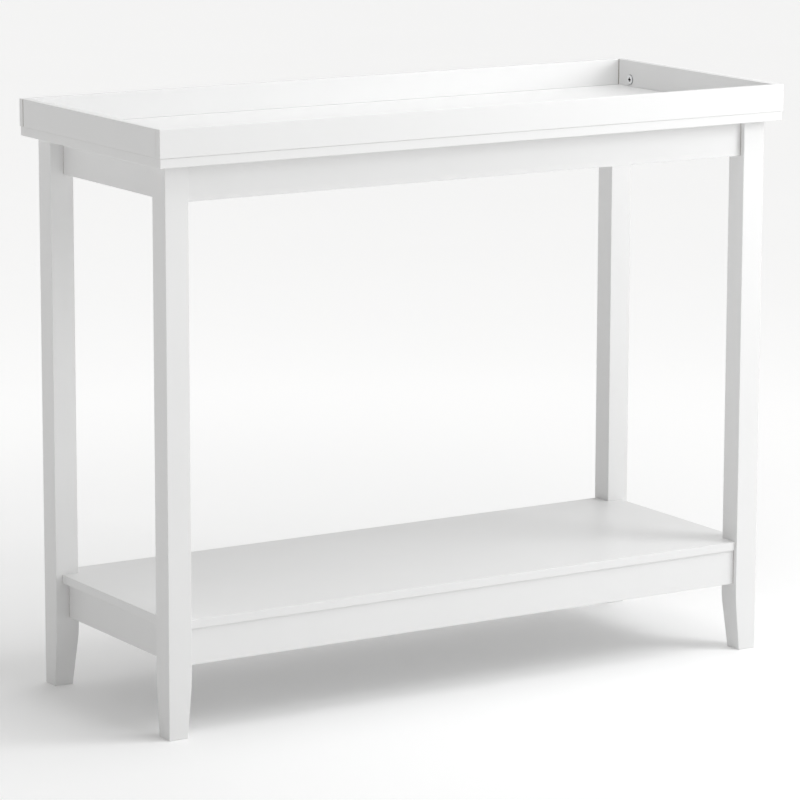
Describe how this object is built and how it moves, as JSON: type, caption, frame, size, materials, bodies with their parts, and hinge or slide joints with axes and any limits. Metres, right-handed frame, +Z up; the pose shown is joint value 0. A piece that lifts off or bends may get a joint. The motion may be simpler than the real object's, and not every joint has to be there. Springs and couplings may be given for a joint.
{
  "type": "console table",
  "caption": "Long narrow console table with a shallow rimmed tray for a top, square legs tapered at the foot and a low open shelf, painted white.",
  "frame": {"origin": "on the floor, under the middle of the table", "axes": "+X along the length to the right as seen from the front, +Y from the front to the back, +Z up"},
  "size_m": [1, 0.4, 0.82],
  "materials": {
    "white_paint": "satin white paint over fibreboard and pine, slightly eased edges",
    "zinc_steel": "bright zinc plate",
    "beech": "raw fluted beech"
  },
  "bodies": {
    "root": {"tray_base": "white_paint", "rim_front": "white_paint", "rim_back": "white_paint", "rim_left": "white_paint", "rim_right": "white_paint", "leg_front_left": "white_paint", "leg_front_right": "white_paint", "leg_back_left": "white_paint", "leg_back_right": "white_paint", "apron_front": "white_paint", "apron_back": "white_paint", "apron_left": "white_paint", "apron_right": "white_paint", "shelf_panel": "white_paint", "shelf_rail_front": "white_paint", "shelf_rail_back": "white_paint", "shelf_rail_left": "white_paint", "shelf_rail_right": "white_paint", "rim_cam_locks": "zinc_steel", "rim_cam_bolts": "zinc_steel", "rim_screws": "zinc_steel", "apron_cam_locks": "zinc_steel", "apron_cam_bolts": "zinc_steel", "rail_cam_locks": "zinc_steel", "rail_cam_bolts": "zinc_steel", "tray_angles": "zinc_steel", "tray_angle_screws": "zinc_steel", "shelf_angles": "zinc_steel", "shelf_angle_screws": "zinc_steel", "rim_dowels": "beech", "apron_dowels": "beech", "rail_dowels": "beech"}
  },
  "joints": []
}
